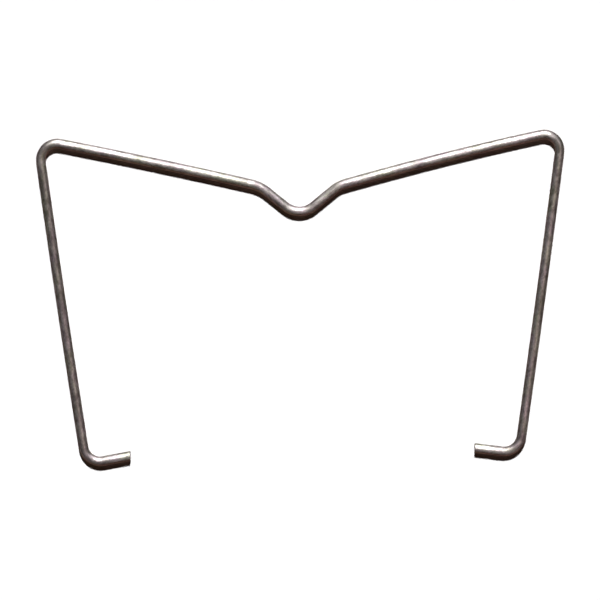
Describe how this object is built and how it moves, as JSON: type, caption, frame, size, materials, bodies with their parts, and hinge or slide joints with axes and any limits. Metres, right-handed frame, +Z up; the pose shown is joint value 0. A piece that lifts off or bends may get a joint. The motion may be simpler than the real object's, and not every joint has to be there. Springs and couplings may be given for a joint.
{
  "type": "retaining clip",
  "caption": "M-shaped wire retaining clip: one bent round spring wire with a central V that presses on the held part, splayed legs and inturned feet.",
  "frame": {"origin": "under the centre of the clip's outline, on the surface that the clip lies on", "axes": "+X across the clip from the left leg to the right leg, +Y from the feet towards the arms and the V, +Z up from the surface that the clip lies on"},
  "size_m": [0.044, 0.0274, 0.0008],
  "materials": {
    "spring_steel": "bright drawn spring-steel wire, slightly dulled and mottled brown-grey, with fine lengthwise draw lines"
  },
  "bodies": {
    "root": {"wire_clip": "spring_steel"}
  },
  "joints": []
}
